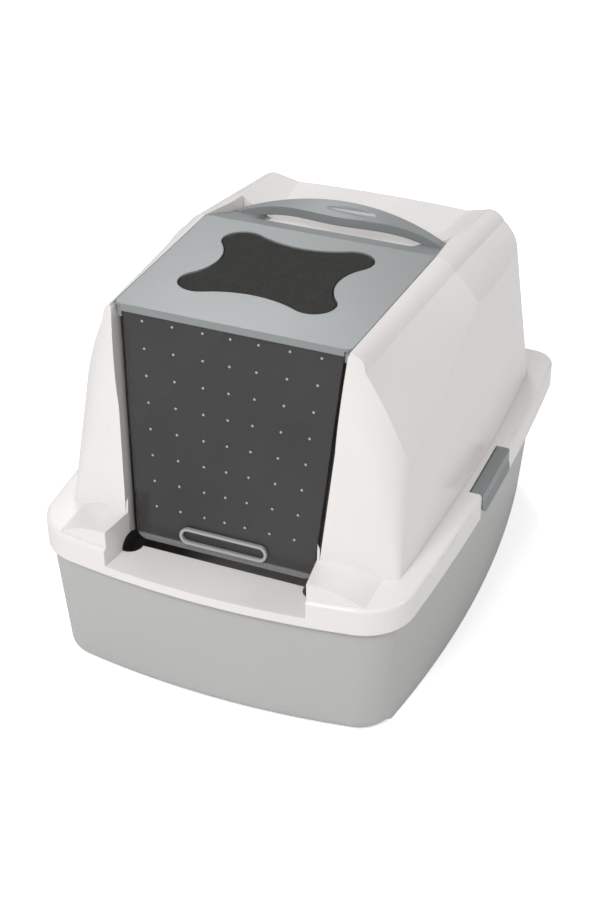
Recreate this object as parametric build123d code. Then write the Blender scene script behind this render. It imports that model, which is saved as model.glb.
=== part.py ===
# Covered litter box: a low pan, a hood that lifts off it, a hinged roof lid with
# a carry handle and a see-through swing door, an odour filter and two side latches.
# Millimetres. X to the right seen from the front, Y towards the rear, Z up.
# The origin is on the floor, under the middle of the box.
import math
import os

from build123d import *

os.makedirs("parts", exist_ok=True)

# Whole box
length = 570
width = 430
front_bow = 21
rear_bow = 6
side_draw_front = 15
side_draw_rear = 9
widest_at = 30
front_corner = 56
rear_corner = 28
wall = 2.5

# Rim of the hood, which hangs over the rim of the pan
lip_top = 170
lip_drop = 31
lip_edge_round = 4
rib_height = 7.5
rib_in = 6
rib_thick = 2.5

# Pan, whose sides end in a crisp upright corner a little behind its rounded front
pan_wall = 2.8
rim_gap = 1.2
rim_width = 4
rim_thick = 2.5
rim_drop = 10
pan_lean = 4
pan_bottom_round = 14
pan_corner_in = 13
pan_corner_back = 36
pan_end_round = 30
pan_end_turn = 23
pan_foot_draw = 8
dip_gap = 1
dip_reach = 80

# Walls of the hood above the rim
ledge = 22
entry_ledge = 36
front_lean = 26.5
rear_lean = 50
side_lean = 19
walls_top = 430
walls_front_bow = 39
walls_front_draw = 10
walls_front_corner = 6
brow_bow = 2
brow_draw = 15
brow_corner = 110
tail_bow = 14
hood_corner = 45
pad_high = 16.5
pad_flat_to = 140
pad_fall = 2
pad_end = 170
pad_edge = 4
pad_depth = 85

# Cross-sections of the hood at its brow, at the lid's rear end and at its tail,
# each as the base, the start and end of the shoulder, and the crest. A point is
# given by how far it lies in from the side of the box, and by its height
brow_y = -length / 2 + 85
ridge_y = 25
tail_y = length / 2 - 72
brow_section = ((29, 150), (32, 215), (77, 392), (90, 413))
ridge_section = ((20, 150), (28, 280), (63, 392), (84, 406))
tail_section = ((20, 140), (29, 262), (66, 366), (84, 376))
brow_bulge = 0.035
ridge_bulge = 0.16
tail_bulge = 0.18
crest_bulge = 0.14

# Rear roof: a well under the handle, then a valley between the shoulders
well_front = 46
well_rear = 112
well_side_gap = 2
well_floor = 369
valley_front_inset = 123
valley_rear_inset = 112
valley_rear_floor = 367

# Entrance
sill_top = 150
sill_inset = 110.5
sill_half = width / 2 - sill_inset
sill_rear = -length / 2 + 53
entry_spread = 0.0736
sill_splay = 8
sill_notch = 14
jamb_depth = 8

# Door
door_thick = 2.5
door_lean = 7.6
door_axis_z = 404
door_gap = 7
door_bottom_gap = 7
door_corner = 12
door_barrel = 3
door_rim_depth = 6
door_rim_thick = 2
door_pin = 1.5
door_pin_in = 14
door_pin_play = 0.05
grip_width = 97
grip_height = 18
grip_rib = 3
grip_proud = 4
grip_above_edge = 8
dot_rows = 8
dot_first_row = 7.4
dot_row_pitch = 28.6
dot_columns_each_side = 3
dot_first_top = 29.5
dot_pitch_top = 32.5
dot_first_low = 22.4
dot_pitch_low = 26.9
dot_radius = 1.3
dot_proud = 0.8

# Roof lid
lid_thick = 3
lid_gap = 0.6
lid_front = -length / 2 + 86
door_axis_y = lid_front + 6
lid_corner = 7
lid_lip = 8
lid_lip_thick = 2
lid_shelf = 9
roof_hole_rear = 8
ear_width = 5
ear_length = 13
ear_below_pin = 7
lid_slope = 0.36
lid_slope_end = 94
lid_end_inset = 91
lid_end_half = width / 2 - lid_end_inset

# Carry handle at the rear of the lid
handle_rear = 112
handle_end_front = 84
handle_end_rear = 94
handle_half = lid_end_half - 4
handle_top = 406
handle_end_top = 386
handle_thick = 10
handle_round = 3
handle_bulge = 12
slot_front = 62
slot_half = handle_half - 28
slot_round = 6
thumb_x = 20
thumb_y = 92
thumb_long = 38
thumb_wide = 8
thumb_deep = 2.5

# Lid hinge
hinge_y = 104
hinge_z = 376
hinge_barrel = 4.5
hinge_pin = 1.75
hinge_pin_play = 0.05
knuckle_in = handle_half - 24
knuckle_length = 10
lug_length = 5
hinge_side_gap = 0.6

# Odour filter and the four-lobed well in the lid that holds it
filter_x = -5
filter_y = -72
lobe_x = 61
lobe_y = 52
lobe_radius = 22.5
waist_x = 65
waist_y = 59
pad_thick = 6
pad_gap = 0.8
pad_below = 0.5
cup_wall = 2
vent_radius = 3.5
vent_pitch = 16
vent_edge = 8

# Side latches
latch_y = 10
latch_length = 96
latch_plate = 2.6
latch_drop = 24
latch_flare = 3
latch_tab = 9
latch_end_round = 8
latch_in = 12
latch_barrel = 2.9
latch_pin = 1.25
latch_pin_play = 0.05
latch_gap = 0.6
boss_length = 5

rim_top = lip_top - wall - rib_height
lip_low = lip_top - lip_drop
rim_outer = wall + rim_gap
pan_inset = rim_outer + rim_width
far = length


def outline(half_width, front, rear, bow_front, bow_rear, draw_front, draw_rear, corner_front, corner_rear):
    """Plan of the box at one height: four bowed sides with rounded corners."""
    front_x, front_y = half_width - draw_front, front + bow_front
    rear_x, rear_y = half_width - draw_rear, rear - bow_rear
    sides = [
        ThreePointArc((-front_x, front_y), (0, front), (front_x, front_y)),
        ThreePointArc((front_x, front_y), (half_width, widest_at), (rear_x, rear_y)),
        ThreePointArc((rear_x, rear_y), (0, rear), (-rear_x, rear_y)),
        ThreePointArc((-rear_x, rear_y), (-half_width, widest_at), (-front_x, front_y)),
    ]
    plan = make_face(Curve() + sides)
    plan = fillet(plan.vertices().sort_by(Axis.Y)[:2], corner_front)
    return fillet(plan.vertices().sort_by(Axis.Y)[-2:], corner_rear)


def rim_plan(inset, corner=None):
    """Plan of the rim, drawn in all round by inset."""
    return outline(
        width / 2 - inset,
        -length / 2 + inset,
        length / 2 - inset,
        front_bow,
        rear_bow,
        side_draw_front,
        side_draw_rear,
        corner or front_corner - inset,
        corner or max(rear_corner - inset, rear_corner / 3),
    )


def pan_plan(inset, draw):
    """Plan of the pan: bowed front and rear with rounded ends, then a crisp corner at each side."""
    half = width / 2 - inset
    end = length / 2 - inset
    corner = (half - draw - pan_corner_in, end - pan_corner_back)
    turn = (corner[0] - pan_end_round, corner[1] + pan_end_turn)
    edges = []
    for s in (-1, 1):
        middle = ThreePointArc((-turn[0], s * turn[1]), (0, s * end), (turn[0], s * turn[1]))
        right_end = TangentArc(turn_at(turn, s), turn_at(corner, s), tangent=middle % 1)
        edges += [middle, right_end, mirror(right_end, about=Plane.YZ)]
    for s in (-1, 1):
        edges.append(ThreePointArc((s * corner[0], -corner[1]), (s * half, widest_at), (s * corner[0], corner[1])))
    return make_face(Curve() + edges)


def turn_at(point, s):
    return (point[0], s * point[1])


def between(low_plan, low, high_plan, high):
    """Straight-sided solid from one plan to another."""
    return loft([Pos(0, 0, low) * low_plan, Pos(0, 0, high) * high_plan], ruled=True)


def slab(plan, low, high):
    """Upright solid of one plan between two heights."""
    return extrude(Pos(0, 0, low) * plan, amount=high - low)


def block(x, y, z):
    """Box between two corners, each axis given as a pair."""
    size = [b - a for a, b in (x, y, z)]
    middle = [(a + b) / 2 for a, b in (x, y, z)]
    return Pos(*middle) * Box(*size)


def rod(radius, x0, x1, y, z):
    """Cylinder along X."""
    return Pos((x0 + x1) / 2, y, z) * Rot(0, 90, 0) * Cylinder(radius, abs(x1 - x0))


def front_plane(y):
    """Plane whose local axes are X and Z, at one depth."""
    return Plane(origin=(0, y, 0), x_dir=(1, 0, 0), z_dir=(0, -1, 0))


def side_prism(points, half):
    """Solid with a YZ outline, as wide as twice half."""
    side = Plane(origin=(-half, 0, 0), x_dir=(0, 1, 0), z_dir=(1, 0, 0))
    return extrude(side * make_face(Polyline(*points, close=True)), amount=2 * half)


def both(solid):
    """A solid and its mirror image in the middle plane."""
    return solid + mirror(solid, about=Plane.YZ)


# Hood: its outside is what the leaning walls and the roof tunnel have in common


def wall_plan(inset, z):
    """Plan of the walls: crisp front corners at the foot, which widen on the way up."""
    rise = (z - lip_top) / (walls_top - lip_top)
    return outline(
        width / 2 - ledge - side_lean * rise - inset,
        -length / 2 + entry_ledge + front_lean * rise + inset,
        length / 2 - ledge - rear_lean * rise - inset,
        walls_front_bow + (brow_bow - walls_front_bow) * rise,
        rear_bow + (tail_bow - rear_bow) * rise,
        walls_front_draw + (brow_draw - walls_front_draw) * rise,
        side_draw_rear,
        max(walls_front_corner + (brow_corner - walls_front_corner) * rise - inset, walls_front_corner / 3),
        hood_corner - inset,
    )


def walls(inset, low):
    return between(wall_plan(inset, low), low, wall_plan(inset, walls_top), walls_top)


def section_at(y):
    """Cross-section points and shoulder bulge at any depth."""
    if y <= ridge_y:
        near, next_one, y0, y1 = brow_section, ridge_section, brow_y, ridge_y
        bulges = (brow_bulge, ridge_bulge)
    else:
        near, next_one, y0, y1 = ridge_section, tail_section, ridge_y, tail_y
        bulges = (ridge_bulge, tail_bulge)
    share = (y - y0) / (y1 - y0)
    points = []
    for p, q in zip(near, next_one):
        inset, high = (a + (b - a) * share for a, b in zip(p, q))
        points.append((width / 2 - inset, high))
    return points, max(bulges[0] + (bulges[1] - bulges[0]) * share, 0.01)


def crest(y):
    """Half width and height of the roof's edge at one depth."""
    return section_at(y)[0][3]


def bowed(p, q, bulge):
    """Arc from p to q that stands out by bulge times its chord."""
    dx, dz = q[0] - p[0], q[1] - p[1]
    middle = ((p[0] + q[0]) / 2 + dz * bulge, (p[1] + q[1]) / 2 - dx * bulge)
    return ThreePointArc(p, middle, q)


def tunnel_face(y, inset):
    (base, start, end, top), bulge = section_at(y)
    base = (base[0] - inset, base[1] - 10 if inset else base[1])
    start = (start[0] - inset, start[1])
    end = (end[0] - 0.8 * inset, end[1] - 0.7 * inset)
    top = (top[0] - 0.3 * inset, top[1] - inset)
    right = [Line(base, start), bowed(start, end, bulge), bowed(end, top, crest_bulge)]
    flipped = [tuple([-x, z]) for x, z in (base, start, end, top)]
    left_start = (-start[0], start[1])
    left = [
        Line(flipped[0], flipped[1]),
        mirrored_bow(left_start, start, end, bulge),
        mirrored_bow(flipped[2], end, top, crest_bulge),
    ]
    across = [Line(top, flipped[3]), Line(base, flipped[0])]
    return front_plane(y) * make_face(Curve() + right + left + across)


def mirrored_bow(at, p, q, bulge):
    dx, dz = q[0] - p[0], q[1] - p[1]
    middle = ((p[0] + q[0]) / 2 + dz * bulge, (p[1] + q[1]) / 2 - dx * bulge)
    return ThreePointArc(at, (-middle[0], middle[1]), (-q[0], q[1]))


def tunnel(inset):
    depths = (-0.6 * length, ridge_y, 0.6 * length)
    return loft([tunnel_face(y, inset) for y in depths], ruled=True)


def bar_face(y, half, low, high=walls_top + 30):
    """Upright rectangle across the box at one depth."""
    corners = [(-half, low), (half, low), (half, high), (-half, high)]
    return front_plane(y) * make_face(Polyline(*corners, close=True))


def lid_pocket(deeper=0, wider=0):
    """Room that the lid takes out of the roof."""
    faces = []
    for y in (-0.6 * length, ridge_y):
        half, high = crest(y)
        faces.append(bar_face(y, half + wider, high - lid_thick - lid_gap - deeper))
    end = lid_slope_end + lid_gap
    low = lid_slope_z(end) - lid_thick - lid_gap - deeper
    faces.append(bar_face(end + wider, lid_end_half + lid_gap + wider, low))
    return loft(faces, ruled=True)


def lid_slope_z(y):
    """Height of the lid's top face behind the ridge."""
    return crest(ridge_y)[1] - lid_slope * (y - ridge_y)


def handle_well(deeper=0, wider=0):
    """Room under the carry handle for the fingers and the lid's hinge."""
    half = lid_end_half + well_side_gap + wider
    return block(
        (-half, half), (well_front - wider, well_rear + wider), (well_floor - deeper, walls_top)
    )


def valley_face(y, deeper):
    half, high = crest(y)
    share = (y - well_rear) / (tail_y - well_rear)
    floor_half = width / 2 - valley_front_inset - (valley_rear_inset - valley_front_inset) * share
    floor = well_floor + (valley_rear_floor - well_floor) * share
    side = [(floor_half, floor - deeper), (half + deeper, high - deeper), (half + deeper, far)]
    points = side + [(-x, z) for x, z in reversed(side)]
    return front_plane(y) * make_face(Polyline(*points, close=True))


def valley(deeper=0):
    return loft([valley_face(well_rear - 2 - deeper, deeper), valley_face(0.6 * length, deeper)], ruled=True)


def opening_half(z):
    """Half width of the entrance at one height."""
    return sill_half + entry_spread * (z - sill_top)


def entrance(margin=0, rear=lid_front + 16):
    low = sill_top - margin
    points = [
        (-opening_half(low) - margin, low),
        (opening_half(low) + margin, low),
        (opening_half(walls_top) + margin, walls_top),
        (-opening_half(walls_top) - margin, walls_top),
    ]
    face = front_plane(rear) * make_face(Polyline(*points, close=True))
    return extrude(face, amount=far)


def door_y(z):
    """Depth of the door's front face at one height."""
    return door_axis_y - door_barrel - (door_axis_z - z) * math.tan(math.radians(door_lean))


def sill_cut(margin=0, low=sill_top, high=lip_top + 40):
    """Plan of the step through the rim under the entrance, wider at the front."""
    front = -length / 2 - 10
    half_rear = sill_half + margin
    half_front = sill_half + sill_splay + margin
    points = [
        (-half_front, front),
        (half_front, front),
        (half_rear, sill_rear),
        (-half_rear, sill_rear),
    ]
    return slab(make_face(Polyline(*points, close=True)), low, high)


latch_low = latch_y - latch_length / 2
latch_high = latch_y + latch_length / 2
latch_face_x = width / 2
latch_axis_x = latch_face_x - latch_in
latch_axis_z = lip_top - latch_barrel


def entry_pad(lower=0):
    """Raised foot on the ledge beside the entrance, which falls away to the side."""
    top = lip_top + pad_high - lower
    end_high = lip_top - 1.5 - lower
    side = [
        ThreePointArc((0.8 * sill_half, top), (pad_flat_to, top - pad_fall), (pad_end, end_high)),
        Line((pad_end, end_high), (pad_end, lip_top - 4 * wall)),
        Line((pad_end, lip_top - 4 * wall), (0.8 * sill_half, lip_top - 4 * wall)),
        Line((0.8 * sill_half, lip_top - 4 * wall), (0.8 * sill_half, top)),
    ]
    start = -length / 2 + pad_depth
    bar = extrude(front_plane(start) * make_face(Curve() + side), amount=pad_depth + 10)
    return both(bar & slab(rim_plan(pad_edge + lower), lip_low, far))


skirt = slab(rim_plan(0), lip_low, lip_top)
skirt = fillet(skirt.edges().group_by(Axis.Z)[-1], lip_edge_round)
outside = walls(0, lip_top - wall) & tunnel(0)
inside = walls(wall, rim_top - 6) & tunnel(wall)
outside = outside - lid_pocket() - handle_well() - valley()
inside = inside - lid_pocket(wall, wall) - handle_well(wall, wall) - valley(wall)

body = skirt + outside
outside = outside + entry_pad()
hood = body + entry_pad() - slab(rim_plan(wall), lip_low - 5, lip_top - wall) - inside - entry_pad(wall)
rib = slab(rim_plan(rib_in) - rim_plan(rib_in + rib_thick), rim_top, lip_top - wall)
hood = hood + rib

# Entrance with its jambs and its sill
jamb_limit = side_prism(
    [
        (-far, sill_top - wall),
        (door_y(sill_top - wall) + jamb_depth, sill_top - wall),
        (door_y(door_axis_z) + jamb_depth, door_axis_z),
        (door_y(door_axis_z) + jamb_depth, walls_top),
        (-far, walls_top),
    ],
    width,
)
jambs = (entrance(wall, -0.2 * length) & outside & jamb_limit) - entrance()
hood = hood + jambs - entrance()
roof_hole = loft(
    [
        bar_face(-0.6 * length, crest(-0.6 * length)[0] - lid_shelf, door_axis_z - 30),
        bar_face(roof_hole_rear, crest(roof_hole_rear)[0] - lid_shelf, door_axis_z - 30),
    ],
    ruled=True,
)
hood = hood - roof_hole
sill_walls = sill_cut(wall, sill_top - wall) & (skirt + outside)
sill_notches = both(Pos(sill_half, sill_rear - 2, sill_top) * Sphere(sill_notch))
hood = hood + sill_walls - sill_cut() - sill_notches

# Hinge lugs for the lid, on the floor of the well
lug_x = knuckle_in + knuckle_length + hinge_side_gap
lug = block(
    (lug_x, lug_x + lug_length),
    (hinge_y - hinge_barrel, hinge_y + hinge_barrel),
    (well_floor - wall / 2, hinge_z),
) + rod(hinge_barrel, lug_x, lug_x + lug_length, hinge_y, hinge_z)
lug = lug - rod(hinge_pin, lug_x - 1, lug_x + lug_length + 1, hinge_y, hinge_z)
hood = hood + both(lug)

# Seats for the side latches
latch_seat = block(
    (latch_axis_x - latch_barrel - latch_gap, far),
    (latch_low - latch_gap, latch_high + latch_gap),
    (lip_low - 5, lip_top + 10),
)
boss = Pos(latch_axis_x, latch_low - latch_gap - boss_length / 2, latch_axis_z) * Rot(90, 0, 0) * (
    Cylinder(latch_barrel, boss_length)
) + block(
    (latch_axis_x - latch_barrel, latch_axis_x + latch_barrel),
    (latch_low - latch_gap - boss_length, latch_low - latch_gap),
    (latch_axis_z, lip_top - wall / 2),
)
boss_far = mirror(boss, about=Plane(origin=(0, latch_y, 0), z_dir=(0, 1, 0)))
latch_bore = Pos(latch_axis_x, latch_y, latch_axis_z) * Rot(90, 0, 0) * Cylinder(
    latch_pin, latch_length + 2 * latch_gap + 2 * boss_length + 2
)
hood = hood - both(latch_seat) + both(boss + boss_far) - both(latch_bore)
export_step(hood, "parts/hood_shell.step")

# Pan
def end_edges(solid):
    """Bottom edges of the front and of the rear, without those of the sides."""
    return [e for e in solid.edges().group_by(Axis.Z)[0] if abs(e.center().Y) > length / 3]


pan = between(pan_plan(pan_inset + pan_lean, pan_foot_draw), 0, pan_plan(pan_inset, 0), rim_top)
pan = fillet(end_edges(pan), pan_bottom_round)
hollow = between(
    pan_plan(pan_inset + pan_lean + pan_wall, pan_foot_draw),
    pan_wall,
    pan_plan(pan_inset + pan_wall, 0),
    rim_top + 1,
)
hollow = fillet(end_edges(hollow), pan_bottom_round - pan_wall)
rim = slab(rim_plan(rim_outer), rim_top - rim_thick, rim_top)
rim_lip = slab(rim_plan(rim_outer) - rim_plan(rim_outer + rim_thick), rim_top - rim_drop, rim_top)
dip_half = sill_half + sill_splay + wall + dip_gap
dip = block((-dip_half, dip_half), (-far, -length / 2 + dip_reach), (sill_top - wall - dip_gap, far))
pan = pan + rim + rim_lip - hollow - dip
export_step(pan, "parts/pan.step")

# Roof lid: plate, rear slope, front lip, ears, handle and filter cup
crest_half, crest_z = crest(ridge_y)
roof_tilt = math.degrees(math.atan2(crest(brow_y)[1] - crest_z, ridge_y - brow_y))
on_roof = Pos(0, ridge_y, crest_z) * Rot(-roof_tilt, 0, 0)


def lid_half(y):
    return crest(y)[0] - lid_gap


front_local = lid_front - ridge_y
plate_points = [
    (-lid_half(lid_front), front_local),
    (lid_half(lid_front), front_local),
    (lid_half(ridge_y), 0),
    (-lid_half(ridge_y), 0),
]
plate = make_face(Polyline(*plate_points, close=True))
plate = fillet(plate.vertices().sort_by(Axis.Y)[:2], lid_corner)
plate = extrude(plate, amount=-lid_thick)
front_lip = block(
    (-lid_half(lid_front) + lid_corner, lid_half(lid_front) - lid_corner),
    (front_local, front_local + lid_lip_thick),
    (-lid_lip, -lid_thick / 2),
)
lid = on_roof * (plate + front_lip)
slope = side_prism(
    [
        (ridge_y - 0.2, crest_z),
        (lid_slope_end, lid_slope_z(lid_slope_end)),
        (lid_slope_end, lid_slope_z(lid_slope_end) - lid_thick),
        (ridge_y - 0.2, crest_z - lid_thick),
    ],
    width / 2,
)
slope_plan = make_face(
    Polyline(
        (-lid_half(ridge_y), ridge_y - 1),
        (lid_half(ridge_y), ridge_y - 1),
        (lid_end_half, lid_slope_end),
        (-lid_end_half, lid_slope_end),
        close=True,
    )
)
slot_plan = Pos(0, (slot_front + far) / 2) * RectangleRounded(2 * slot_half, far - slot_front, slot_round)
lid = lid + (slope & slab(slope_plan, well_floor, far)) - slab(slot_plan, well_floor, far)

# Carry handle: an arch across the roof, which stands on the sloped rear of the lid
upper = ThreePointArc((-handle_half, handle_end_top), (0, handle_top), (handle_half, handle_end_top))
lower = ThreePointArc(
    (-handle_half, handle_end_top - handle_thick),
    (0, handle_top - handle_thick),
    (handle_half, handle_end_top - handle_thick),
)
arch_face = front_plane(handle_rear + 10) * make_face(
    Curve() + [upper, lower, Line(upper @ 0, lower @ 0), Line(upper @ 1, lower @ 1)]
)
arch = extrude(arch_face, amount=handle_rear + 10 - slot_front)
front_curve = Spline(
    (-handle_half, handle_end_front),
    (-handle_half / 2, handle_end_front),
    (0, handle_end_front - handle_bulge),
    (handle_half / 2, handle_end_front),
    (handle_half, handle_end_front),
)
rear_curve = ThreePointArc((-handle_half, handle_end_rear), (0, handle_rear), (handle_half, handle_end_rear))
arch_plan = make_face(
    Curve()
    + [front_curve, rear_curve, Line(front_curve @ 0, rear_curve @ 0), Line(front_curve @ 1, rear_curve @ 1)]
)
arch = arch & slab(arch_plan, well_floor, handle_top + 10)
thumb = scale(Sphere(1), by=(thumb_long, thumb_wide, thumb_deep))
arch = arch - Pos(thumb_x, thumb_y, handle_top) * thumb
knuckle_web = block(
    (knuckle_in, knuckle_in + knuckle_length),
    (lid_slope_end - 4, hinge_y),
    (hinge_z - hinge_barrel, hinge_z + hinge_barrel),
)
knuckle = knuckle_web + rod(hinge_barrel, knuckle_in, knuckle_in + knuckle_length, hinge_y, hinge_z)
knuckle = knuckle - rod(hinge_pin + hinge_pin_play, knuckle_in - 1, knuckle_in + knuckle_length + 1, hinge_y, hinge_z)
lid = lid + arch + both(knuckle)

# Ears at the front corners, which carry the door's pins
ear_out = opening_half(door_axis_z) - lid_gap - 0.4
ear = block(
    (ear_out - ear_width, ear_out),
    (lid_front + lid_lip_thick + 0.5, lid_front + ear_length),
    (door_axis_z - ear_below_pin, crest(lid_front)[1] - lid_thick / 2),
)
ear = ear - rod(door_pin + door_pin_play, ear_out - ear_width - 1, ear_out + 1, door_axis_y, door_axis_z)
lid = lid + both(ear)


def lobed(grow=0):
    """Four-lobed outline about the origin, from eight tangent arcs, grown by grow."""
    radius = lobe_radius + grow
    side_radius = ((lobe_x - waist_x) ** 2 + lobe_y**2 - lobe_radius**2) / (
        2 * (lobe_radius + lobe_x - waist_x)
    )
    end_radius = ((lobe_y - waist_y) ** 2 + lobe_x**2 - lobe_radius**2) / (
        2 * (lobe_radius + lobe_y - waist_y)
    )
    side_x = waist_x + side_radius
    end_y = waist_y + end_radius
    side_share = radius / (lobe_radius + side_radius)
    end_share = radius / (lobe_radius + end_radius)
    on_side = (lobe_x + (side_x - lobe_x) * side_share, lobe_y - lobe_y * side_share)
    on_end = (lobe_x - lobe_x * end_share, lobe_y + (end_y - lobe_y) * end_share)
    tip_angle = (
        math.atan2(on_side[1] - lobe_y, on_side[0] - lobe_x)
        + math.atan2(on_end[1] - lobe_y, on_end[0] - lobe_x)
    ) / 2
    tip = (lobe_x + radius * math.cos(tip_angle), lobe_y + radius * math.sin(tip_angle))
    arcs = []
    for sx, sy in ((1, 1), (-1, 1), (-1, -1), (1, -1)):
        turned = [(sx * x, sy * y) for x, y in (on_side, tip, on_end)]
        arcs.append(ThreePointArc(*turned))
    for s in (1, -1):
        x, y = on_side
        arcs.append(ThreePointArc((s * x, -y), (s * (waist_x + grow), 0), (s * x, y)))
        x, y = on_end
        arcs.append(ThreePointArc((-x, s * y), (0, s * (waist_y + grow)), (x, s * y)))
    return make_face(Curve() + arcs)


def vent_spots():
    """Vent centres on a square grid that keep clear of the lobed edge."""
    reach = int((lobe_x + lobe_radius) / vent_pitch) + 1
    keep = vent_radius + vent_edge
    spots = []
    for i in range(-reach, reach + 1):
        for j in range(-reach, reach + 1):
            x, y = i * vent_pitch, j * vent_pitch
            in_lobe = math.hypot(abs(x) - lobe_x, abs(y) - lobe_y) < lobe_radius - keep
            in_middle = abs(x) < waist_x - keep and abs(y) < waist_y - keep
            if in_lobe or in_middle:
                spots.append((x, y))
    return spots


filter_local = filter_y - ridge_y
cup_depth = pad_below + pad_thick + 0.3
cup = Pos(filter_x, filter_local, -cup_depth - cup_wall) * extrude(lobed(pad_gap + cup_wall), amount=cup_depth + cup_wall - 0.5)
cup_room = Pos(filter_x, filter_local, -cup_depth) * extrude(lobed(pad_gap), amount=cup_depth + 5)
lid = lid + on_roof * cup - on_roof * cup_room
vents = Sketch() + [Pos(x + filter_x, y + filter_local) * Circle(vent_radius) for x, y in vent_spots()]
lid = lid - on_roof * Pos(0, 0, -cup_depth - cup_wall - 1) * extrude(vents, amount=cup_wall + 2)
export_step(lid, "parts/roof_lid.step")

pad = on_roof * Pos(filter_x, filter_local, -pad_below - pad_thick) * extrude(lobed(), amount=pad_thick)
export_step(pad, "parts/filter_pad.step")

# Door, drawn upright under its axis and then leaned forward
door_turn = Pos(0, door_axis_y, door_axis_z) * Rot(-door_lean, 0, 0)
door_length = (door_axis_z - sill_top - door_bottom_gap) / math.cos(math.radians(door_lean))


def door_half(down):
    height = door_axis_z - down * math.cos(math.radians(door_lean))
    return opening_half(height) - door_gap


def door_plan(inset):
    top = [(door_half(0) - inset, 0), (-door_half(0) + inset, 0)]
    bottom_half = door_half(door_length) - inset
    bottom = [(-bottom_half, -door_length + inset), (bottom_half, -door_length + inset)]
    face = make_face(Polyline(*(top + bottom), close=True))
    return fillet(face.vertices().sort_by(Axis.Y)[:2], door_corner - inset)


def stand_off(face, front, rear):
    """Door feature between two depths, measured from the door's axis."""
    return extrude(front_plane(rear) * face, amount=rear - front)


sheet_front = -door_barrel
sheet_rear = sheet_front + door_thick
door = stand_off(door_plan(0), sheet_front, sheet_rear)
door = door + stand_off(door_plan(0) - door_plan(door_rim_thick), sheet_rear, sheet_rear + door_rim_depth) - block(
    (-far, far), (sheet_rear, far), (-5 * door_barrel, far)
)
door = door + rod(door_barrel, -door_half(0), door_half(0), 0, 0)
grip_centre = -door_length + grip_above_edge + grip_height / 2
grip = Pos(0, grip_centre) * (
    SlotOverall(grip_width, grip_height) - SlotOverall(grip_width - 2 * grip_rib, grip_height - 2 * grip_rib)
)
door = door + stand_off(grip, sheet_front - grip_proud, sheet_front + 0.2)
dots = []
for row in range(dot_rows):
    share = row / (dot_rows - 1)
    first = dot_first_top + (dot_first_low - dot_first_top) * share
    pitch = dot_pitch_top + (dot_pitch_low - dot_pitch_top) * share
    down = dot_first_row + row * dot_row_pitch
    columns = [0] + [s * (first + k * pitch) for k in range(dot_columns_each_side) for s in (1, -1)]
    dots += [Pos(x, -down) * Circle(dot_radius) for x in columns]
door = door + stand_off(Sketch() + dots, sheet_front - dot_proud, sheet_front + 0.2)
pin_bore = rod(door_pin, door_half(0) - door_pin_in, door_half(0) + 1, 0, 0)
door = door_turn * (door - both(pin_bore))
export_step(door, "parts/door_flap.step")

# Pins
door_pin_shape = rod(door_pin, door_half(0) - door_pin_in, ear_out - 0.5, door_axis_y, door_axis_z)
hinge_pin_shape = rod(hinge_pin, knuckle_in - 1.5, lug_x + lug_length, hinge_y, hinge_z)
latch_pin_shape = Pos(latch_axis_x, latch_y, latch_axis_z) * Rot(90, 0, 0) * Cylinder(
    latch_pin, latch_length + 2 * latch_gap + 2 * boss_length
)

# Side latch: a top plate on a barrel, and a grip plate down the rim's outside
latch_low_z = lip_top - latch_drop
latch_inner_x = latch_face_x - latch_plate
latch_profile = [
    (latch_axis_x, lip_top),
    (latch_face_x - latch_plate / 2, lip_top),
    (latch_face_x, lip_top - latch_plate / 2),
    (latch_face_x, latch_low_z + latch_tab),
    (latch_face_x + latch_flare, latch_low_z),
    (latch_inner_x + latch_flare, latch_low_z),
    (latch_inner_x, latch_low_z + latch_tab),
    (latch_inner_x, lip_top - latch_plate),
    (latch_axis_x, lip_top - latch_plate),
]
latch = extrude(front_plane(latch_high) * make_face(Polyline(*latch_profile, close=True)), amount=latch_length)
latch_side = Plane.YZ * (Pos(latch_y, lip_top) * RectangleRounded(latch_length, 2 * latch_drop, latch_end_round))
latch = latch & extrude(latch_side, amount=width)
latch = latch + Pos(latch_axis_x, latch_y, latch_axis_z) * Rot(90, 0, 0) * Cylinder(latch_barrel, latch_length)
latch = latch - Pos(latch_axis_x, latch_y, latch_axis_z) * Rot(90, 0, 0) * Cylinder(
    latch_pin + latch_pin_play, latch_length + 2
)

pieces = {
    "door_pin": door_pin_shape,
    "lid_hinge_pin": hinge_pin_shape,
    "latch_pin": latch_pin_shape,
    "side_latch": latch,
}
for name, shape in pieces.items():
    export_step(shape, f"parts/{name}_right.step")
    export_step(mirror(shape, about=Plane.YZ), f"parts/{name}_left.step")
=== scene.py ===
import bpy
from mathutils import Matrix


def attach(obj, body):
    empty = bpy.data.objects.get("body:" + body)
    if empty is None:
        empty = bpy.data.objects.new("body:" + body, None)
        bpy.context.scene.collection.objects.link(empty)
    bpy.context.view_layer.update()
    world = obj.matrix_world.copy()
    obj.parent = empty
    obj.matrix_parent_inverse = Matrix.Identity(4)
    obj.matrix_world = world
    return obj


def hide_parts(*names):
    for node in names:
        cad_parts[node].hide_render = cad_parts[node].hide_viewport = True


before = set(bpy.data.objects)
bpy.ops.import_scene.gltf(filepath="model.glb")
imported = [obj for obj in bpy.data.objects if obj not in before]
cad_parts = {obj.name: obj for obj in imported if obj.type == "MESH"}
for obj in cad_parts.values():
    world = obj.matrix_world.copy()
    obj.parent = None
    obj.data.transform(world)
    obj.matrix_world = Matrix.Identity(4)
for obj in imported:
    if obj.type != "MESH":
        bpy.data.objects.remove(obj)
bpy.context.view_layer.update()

import math

import bpy
from mathutils import Matrix, Vector

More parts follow.
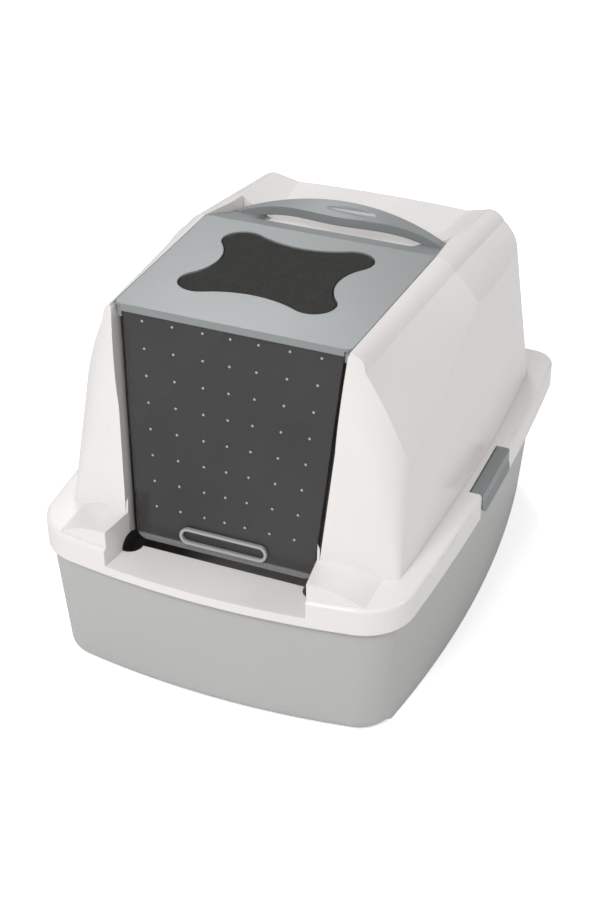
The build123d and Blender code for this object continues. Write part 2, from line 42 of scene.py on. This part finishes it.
# Camera
# A long lens, above the roof and a little to the right of the entrance, as the
# box was photographed.
turn, rise, roll = math.radians(22.88), math.radians(33.48), math.radians(-0.29)
aim = Vector((-0.0044, -0.0184, 0.1598))
away = Vector((math.sin(turn) * math.cos(rise), -math.cos(turn) * math.cos(rise), math.sin(rise)))
camera_data = bpy.data.cameras.new("camera")
camera = bpy.data.objects.new("camera", camera_data)
bpy.context.scene.collection.objects.link(camera)
camera_data.sensor_fit = "AUTO"
camera_data.sensor_width = 36
camera_data.lens = 68.0
camera_distance = 1.894
camera.location = aim + away * camera_distance
looking = (-away).to_track_quat("-Z", "Y")
camera.rotation_euler = (looking.to_matrix() @ Matrix.Rotation(roll, 3, "Z")).to_euler()
bpy.context.scene.camera = camera


# Studio
# A white paper sweep under soft lamps. The sweep shows white to the camera but
# keeps the box's shadow, and the world is white where the camera sees it.
class Socket:
    """One output of a node, on which sums are written as Python expressions."""

    def __init__(self, finish, output):
        self.finish = finish
        self.output = output

    def sum(self, operation, first, second):
        return self.finish.add("ShaderNodeMath", {"operation": operation}, {0: first, 1: second})

    def __add__(self, other):
        return self.sum("ADD", self, other)

    def __mul__(self, other):
        return self.sum("MULTIPLY", self, other)

    def __sub__(self, other):
        return self.sum("SUBTRACT", self, other)

    def __rsub__(self, other):
        return self.sum("SUBTRACT", other, self)

    def __gt__(self, other):
        return self.sum("GREATER_THAN", self, other)

    __radd__ = __add__
    __rmul__ = __mul__


class Finish:
    """A node tree: the finish of a moulded piece, or the light of the studio."""

    def __init__(self, name, owner=None):
        self.owner = owner or bpy.data.materials.new(name)
        self.owner.use_nodes = True
        self.tree = self.owner.node_tree

    def add(self, kind, settings, inputs, output=0):
        node = self.tree.nodes.new(kind)
        for setting, value in settings.items():
            setattr(node, setting, value)
        self.feed(node, inputs)
        return Socket(self, node.outputs[output])

    def feed(self, node, inputs):
        for socket, value in inputs.items():
            if isinstance(value, Socket):
                self.tree.links.new(value.output, node.inputs[socket])
            else:
                node.inputs[socket].default_value = value

    def surface(self, inputs):
        self.feed(self.tree.nodes["Principled BSDF"], inputs)


bpy.context.scene.view_settings.view_transform = "Standard"
bpy.ops.object.select_all(action="DESELECT")
bpy.ops.mesh.primitive_plane_add(size=30, location=(0, 0, 0))
floor = bpy.context.object
floor.name = "floor"
paper = Finish("paper_sweep")
seen = paper.add("ShaderNodeLightPath", {}, {}, "Is Camera Ray")
spot = paper.add("ShaderNodeTexCoord", {}, {}, "Object")
distance = paper.add("ShaderNodeVectorMath", {"operation": "LENGTH"}, {0: spot}, "Value")
near_glow, glow_per_metre = 0.45, 0.3
lift = paper.add(
    "ShaderNodeMath", {"operation": "MINIMUM"}, {0: distance * glow_per_metre + near_glow, 1: 1.0}
)
glow = paper.add(
    "ShaderNodeMix", {"data_type": "RGBA"}, {0: seen * lift, 6: (0, 0, 0, 1), 7: (1, 1, 1, 1)}, 2
)
paper.surface({
    "Base Color": (0.86, 0.86, 0.86, 1),
    "Roughness": 0.9,
    "Emission Color": glow,
    "Emission Strength": 1,
})
floor.data.materials.append(paper.owner)

world = bpy.data.worlds.new("studio")
bpy.context.scene.world = world
air = Finish("studio_air", world)
rays = air.tree.nodes.new("ShaderNodeLightPath")
in_view = Socket(air, rays.outputs["Is Camera Ray"])
through = Socket(air, rays.outputs["Is Transmission Ray"])
dim = air.add("ShaderNodeBackground", {}, {"Color": (0.98, 0.99, 1, 1), "Strength": 0.46})
bright = air.add("ShaderNodeBackground", {}, {"Color": (1, 1, 1, 1), "Strength": 1})
both = air.add("ShaderNodeMixShader", {}, {0: in_view + through, 1: dim, 2: bright})
air.feed(air.tree.nodes["World Output"], {"Surface": both})


def softbox(name, place, size, power):
    """Round soft lamp that faces the middle of the box."""
    lamp = bpy.data.lights.new(name, "AREA")
    lamp.shape = "DISK"
    lamp.size = size
    lamp.energy = power
    thing = bpy.data.objects.new(name, lamp)
    bpy.context.scene.collection.objects.link(thing)
    thing.location = place
    towards = Vector((0, 0, 0.2)) - Vector(place)
    thing.rotation_euler = towards.to_track_quat("-Z", "Y").to_euler()


softbox("key", (-0.2, -2.0, 2.1), 0.9, 38)
softbox("side", (2.1, 0.2, 1.3), 0.8, 7)
softbox("rear", (-0.9, 1.7, 1.9), 0.8, 14)


# Pan
# The deep tray for the litter, moulded in warm light gray polypropylene, with a
# finely etched surface outside and a rim that the hood's skirt drops over.
def moulded(name, colour, roughness, etch=0.00005, sway=0.0006, soften=0.0012):
    """Moulded plastic: cloudy colour, etched grain, faint sink marks and rounded arrises."""
    finish = Finish(name)
    place = finish.add("ShaderNodeTexCoord", {}, {}, "Object")
    cloud = finish.add("ShaderNodeTexNoise", {}, {"Vector": place, "Scale": 14, "Detail": 4})
    sink = finish.add("ShaderNodeTexNoise", {}, {"Vector": place, "Scale": 5, "Detail": 1})
    grain = finish.add(
        "ShaderNodeTexNoise", {}, {"Vector": place, "Scale": 900, "Detail": 3, "Roughness": 0.6}
    )
    specks = finish.add("ShaderNodeTexNoise", {}, {"Vector": place, "Scale": 240, "Detail": 2})
    darkest, palest = 0.955, 1.03
    deep = tuple(darkest * part for part in colour) + (1,)
    pale = tuple(min(palest * part, 1) for part in colour) + (1,)
    mottle = cloud * 0.7 + specks * 0.3
    tint = finish.add("ShaderNodeMix", {"data_type": "RGBA"}, {0: mottle, 6: deep, 7: pale}, 2)
    arris = finish.add("ShaderNodeBevel", {"samples": 4}, {"Radius": soften})
    swell = finish.add(
        "ShaderNodeBump", {}, {"Strength": 1, "Distance": sway, "Height": sink, "Normal": arris}
    )
    skin = finish.add(
        "ShaderNodeBump", {}, {"Strength": 1, "Distance": etch, "Height": grain, "Normal": swell}
    )
    finish.surface({
        "Base Color": tint,
        "Roughness": (cloud - 0.5) * 0.16 + (grain - 0.5) * 0.12 + roughness,
        "Normal": skin,
        "IOR": 1.49,
    })
    return finish


def paint(node, finish):
    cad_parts[node].material_slots[0].material = finish.owner


paint("pan", moulded("pan_polypropylene", (0.5, 0.497, 0.487), 0.4, etch=0.00007))

# Hood
# The white cover that drops over the pan: skirt, walls and valley roof in one
# glossy moulding, bright enough that its shoulders carry soft highlights.
paint("hood_shell", moulded("hood_gloss", (0.86, 0.83, 0.81), 0.22, etch=0.00002))

# Roof lid
# Blue-gray satin moulding with the arched carry handle at its rear and the
# four-lobed well for the odour filter.
paint("roof_lid", moulded("lid_satin", (0.262, 0.28, 0.28), 0.34))

# Side latches
# Two tabs in a gray a shade darker than the lid's, moulded with a barrel that
# turns on a pin at the top of the rim.
latch_finish = moulded("latch_satin", (0.235, 0.252, 0.252), 0.36)
for side in ("left", "right"):
    paint("side_latch_" + side, latch_finish)

# Pins
# Short plain pins for the door, the lid and the latches, in gray plastic that
# is polished by the parts that swing on them.
pin_finish = moulded("pin_polished", (0.24, 0.27, 0.275), 0.25, soften=0.0004)
for side in ("left", "right"):
    for pin in ("door_pin_", "lid_hinge_pin_", "latch_pin_"):
        paint(pin + side, pin_finish)

# Door
# Smoked clear sheet with rows of small raised dots and a rib grip near its foot.
# The dots, the ribs and the foot are painted paler by their place on the sheet: a painted highlight on
# the dots, a painted reflection on the ribs and foot.
smoke = Finish("door_smoked_clear")
lean = math.radians(7.6)
axis_y, axis_z, sheet_front = -0.193, 0.404, 0.003
dot_margin, foot_reflection_from = 0.0004, 0.2425
place = smoke.add("ShaderNodeTexCoord", {}, {}, "Object")
split = smoke.tree.nodes.new("ShaderNodeSeparateXYZ")
smoke.feed(split, {0: place})
deep, high = (Socket(smoke, split.outputs[axis]) for axis in ("Y", "Z"))
out = (deep - axis_y) * -math.cos(lean) + (high - axis_z) * math.sin(lean)
down = (deep - axis_y) * -math.sin(lean) + (high - axis_z) * -math.cos(lean)
# Masks of the raised dots, which carry a painted highlight, and of the foot, which carries a painted
# reflection.
proud = out > sheet_front + dot_margin
foot = down > foot_reflection_from
haze = smoke.add("ShaderNodeTexNoise", {}, {"Vector": place, "Scale": 11, "Detail": 4})
scuff = smoke.add("ShaderNodeTexNoise", {}, {"Vector": place, "Scale": 420, "Detail": 3})
# Painted highlight on the dots and painted reflection along the foot, with a faint random haze.
light = (proud + foot * 0.55) * 0.75 + haze * 0.03
sheet_colour, dot_highlight_colour = (0.032, 0.029, 0.029, 1), (0.62, 0.62, 0.63, 1)
tint = smoke.add("ShaderNodeMix", {"data_type": "RGBA"}, {0: light, 6: sheet_colour, 7: dot_highlight_colour}, 2)
ripple = smoke.add("ShaderNodeBump", {}, {"Strength": 1, "Distance": 0.0004, "Height": haze})
skin = smoke.add(
    "ShaderNodeBump", {}, {"Strength": 1, "Distance": 0.00001, "Height": scuff, "Normal": ripple}
)
smoke.surface({
    "Base Color": tint,
    "Roughness": haze * 0.1 + scuff * 0.06 + 0.03,
    "Alpha": proud * 0.25 + haze * 0.06 + 0.55,
    "Normal": skin,
    "IOR": 1.58,
    "Coat Weight": 0.3,
})
paint("door_flap", smoke)

# Odour filter
# A four-lobed pad of open-cell carbon foam, cut from sheet, whose cut edges are
# a little rounded. It lies in the lid's well. The place for a badge is bare.
bpy.ops.object.select_all(action="DESELECT")
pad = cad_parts["filter_pad"].copy()
pad.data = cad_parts["filter_pad"].data.copy()
for key in list(pad.keys()):
    del pad[key]
pad.name = "filter_foam"
pad.parent = None
bpy.context.scene.collection.objects.link(pad)
pad.hide_render = False
pad.hide_viewport = False
pad.select_set(True)
bpy.context.view_layer.objects.active = pad
bpy.ops.object.mode_set(mode="EDIT")
bpy.ops.mesh.select_all(action="SELECT")
bpy.ops.mesh.remove_doubles(threshold=0.00002)
bpy.ops.mesh.normals_make_consistent(inside=False)
bpy.ops.object.mode_set(mode="OBJECT")
cells = pad.modifiers.new("cells", "REMESH")
cells.mode = "VOXEL"
cells.voxel_size = 0.0014
cells.use_smooth_shade = True
bpy.ops.object.modifier_apply(modifier="cells")
roll_over = pad.modifiers.new("roll_over", "SMOOTH")
roll_over.factor = 0.5
roll_over.iterations = 9
bpy.ops.object.modifier_apply(modifier="roll_over")
foam = Finish("filter_carbon_foam")
place = foam.add("ShaderNodeTexCoord", {}, {}, "Object")
cell = foam.add("ShaderNodeTexVoronoi", {}, {"Vector": place, "Scale": 620}, "Distance")
clump = foam.add(
    "ShaderNodeTexNoise", {}, {"Vector": place, "Scale": 70, "Detail": 5, "Roughness": 0.65}
)
dust = foam.add("ShaderNodeTexNoise", {}, {"Vector": place, "Scale": 1500, "Detail": 2})
# The pores are painted darker than the strands: painted shade in the pits, with random clumps mixed in.
pit_shade_colour, strand_colour = (0.016, 0.016, 0.0145, 1), (0.05, 0.05, 0.045, 1)
strands = cell * 0.8 + clump * 0.4 - 0.1
tint = foam.add("ShaderNodeMix", {"data_type": "RGBA"}, {0: strands, 6: pit_shade_colour, 7: strand_colour}, 2)
lumps = foam.add("ShaderNodeBump", {}, {"Strength": 1, "Distance": 0.0005, "Height": clump})
holes = foam.add(
    "ShaderNodeBump", {}, {"Strength": 1, "Distance": 0.0007, "Height": cell, "Normal": lumps}
)
foam.surface({
    "Base Color": tint,
    "Roughness": dust * 0.1 + 0.86,
    "Normal": holes,
    "Specular IOR Level": 0.25,
})
pad.data.materials.clear()
pad.data.materials.append(foam.owner)
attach(pad, "filter_body")
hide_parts("filter_pad")
